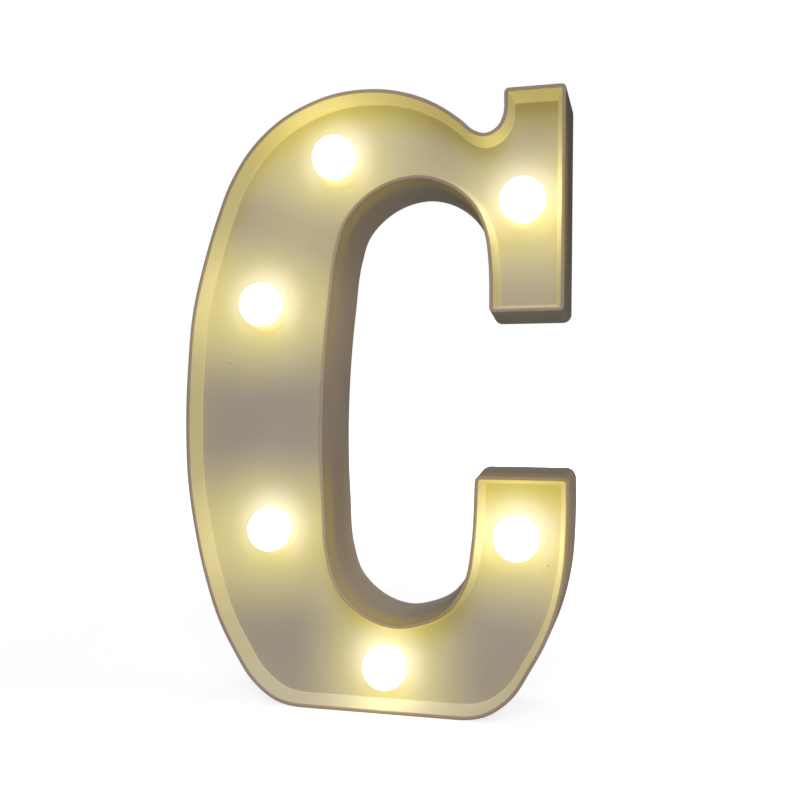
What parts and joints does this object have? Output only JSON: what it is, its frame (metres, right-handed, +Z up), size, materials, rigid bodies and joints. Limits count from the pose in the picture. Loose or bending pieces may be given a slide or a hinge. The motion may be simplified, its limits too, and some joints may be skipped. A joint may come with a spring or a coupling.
{
  "type": "light-up letter",
  "caption": "Light-up slab-serif letter C: deep moulded shell with a recessed face, frosted globe lamps, screwed back cover, hinged battery lid, slide switch and keyhole slots.",
  "frame": {"origin": "centre of the overall box, at the height of the flat base", "axes": "+Z up the letter, +Y from the lit face to the back, +X to the right as the letter is read"},
  "size_m": [0.1424, 0.0336, 0.2215],
  "materials": {
    "shell_white": "moulded, satin, off-white, slightly translucent",
    "cover_white": "moulded, fine texture, off-white",
    "frosted_globe": "frosted, glows warm white",
    "led_lens": "clear moulded lens, warm",
    "board_green": "solder mask over a glass laminate",
    "screw_steel": "zinc plated",
    "cell_jacket": "printed jacket, gloss",
    "contact_nickel": "nickel plated",
    "switch_black": "moulded, black",
    "wire_red": "soft insulation, red",
    "wire_black": "soft insulation, black"
  },
  "bodies": {
    "case": {"front_shell": "shell_white", "back_cover": "cover_white", "globe_cap_1": "frosted_globe", "led_1": "led_lens", "led_board_1": "board_green", "globe_cap_2": "frosted_globe", "led_2": "led_lens", "led_board_2": "board_green", "globe_cap_3": "frosted_globe", "led_3": "led_lens", "led_board_3": "board_green", "globe_cap_4": "frosted_globe", "led_4": "led_lens", "led_board_4": "board_green", "globe_cap_5": "frosted_globe", "led_5": "led_lens", "led_board_5": "board_green", "globe_cap_6": "frosted_globe", "led_6": "led_lens", "led_board_6": "board_green", "case_screw_1": "screw_steel", "case_screw_2": "screw_steel", "case_screw_3": "screw_steel", "case_screw_4": "screw_steel", "case_screw_5": "screw_steel", "case_screw_6": "screw_steel", "case_screw_7": "screw_steel", "battery_cell_1": "cell_jacket", "battery_cell_2": "cell_jacket", "contact_plus": "contact_nickel", "contact_minus": "contact_nickel", "contact_bridge": "contact_nickel", "contact_spring_1": "contact_nickel", "contact_spring_2": "contact_nickel", "switch_body": "switch_black", "switch_pin_1": "contact_nickel", "switch_pin_2": "contact_nickel", "switch_pin_3": "contact_nickel", "wire_red_1": "wire_red", "wire_black_1": "wire_black", "wire_red_2": "wire_red", "wire_black_2": "wire_black", "wire_red_3": "wire_red", "wire_black_3": "wire_black", "wire_red_4": "wire_red", "wire_black_4": "wire_black", "wire_red_5": "wire_red", "wire_black_5": "wire_black", "wire_plus": "wire_red", "wire_minus": "wire_black", "wire_switched": "wire_black"},
    "knob": {"switch_knob": "switch_black"},
    "lid": {"battery_lid": "cover_white"}
  },
  "joints": [
    {"name": "switch_slide", "type": "slide", "parent": "case", "child": "knob", "axis": [1, 0, 0], "range_m": [0, 0.003]},
    {"name": "lid_hinge", "type": "hinge", "parent": "case", "child": "lid", "pos_m": [-0.04896, 0.01555, 0.13144], "axis": [1, 0, 0], "range_deg": [0, 75]}
  ]
}
